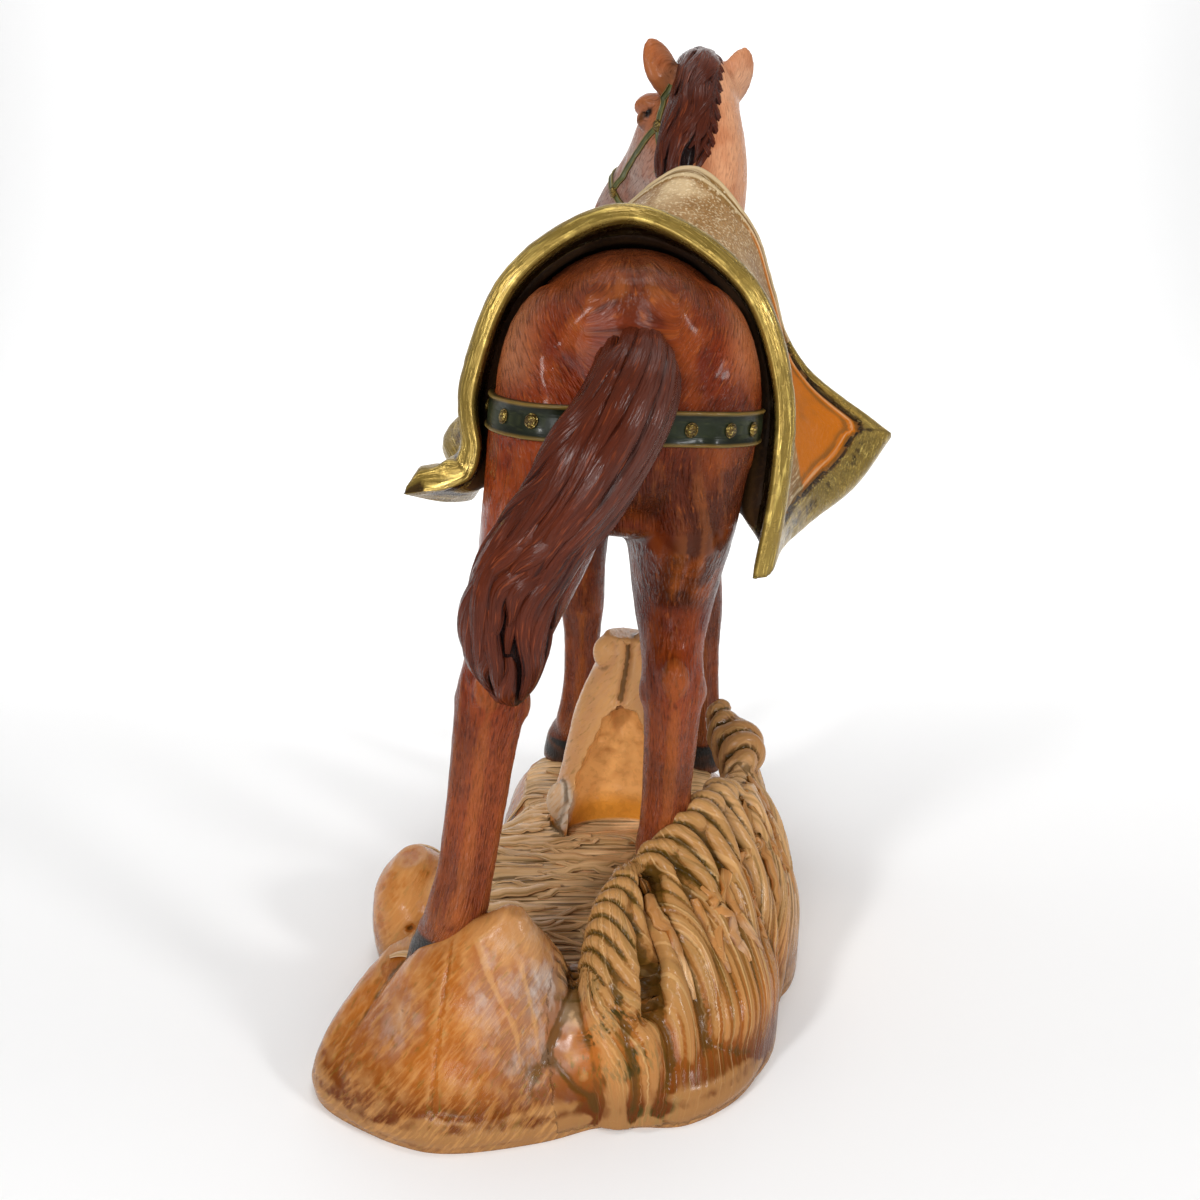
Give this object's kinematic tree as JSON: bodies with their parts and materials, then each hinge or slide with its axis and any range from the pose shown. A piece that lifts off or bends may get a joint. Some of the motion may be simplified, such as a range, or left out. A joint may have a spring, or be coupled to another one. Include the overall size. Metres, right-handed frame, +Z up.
{
  "type": "nativity horse figurine",
  "caption": "Painted standing horse figurine with a gold-hemmed saddle blanket, on a sculpted ground base with rocks, straw and a hollow stump.",
  "frame": {"origin": "on the flat underside of the base, at the middle of the base's width and length, under the horse's belly", "axes": "+Z up; the horse faces -Y, so its tail is towards +Y; +X is the horse's left side"},
  "size_m": [0.1865, 0.2799, 0.3092],
  "materials": {
    "horse_paint": "chestnut paint and varnish over moulded polymer, darker plum brown mane and tail, green strap and halter",
    "blanket_paint": "orange tan paint dry-brushed with cream, gold painted hem, varnished",
    "base_paint": "straw and earth paint with an olive wash and pale dry-brushing, varnished"
  },
  "bodies": {
    "root": {"horse": "horse_paint", "blanket": "blanket_paint", "base": "base_paint"}
  },
  "joints": []
}
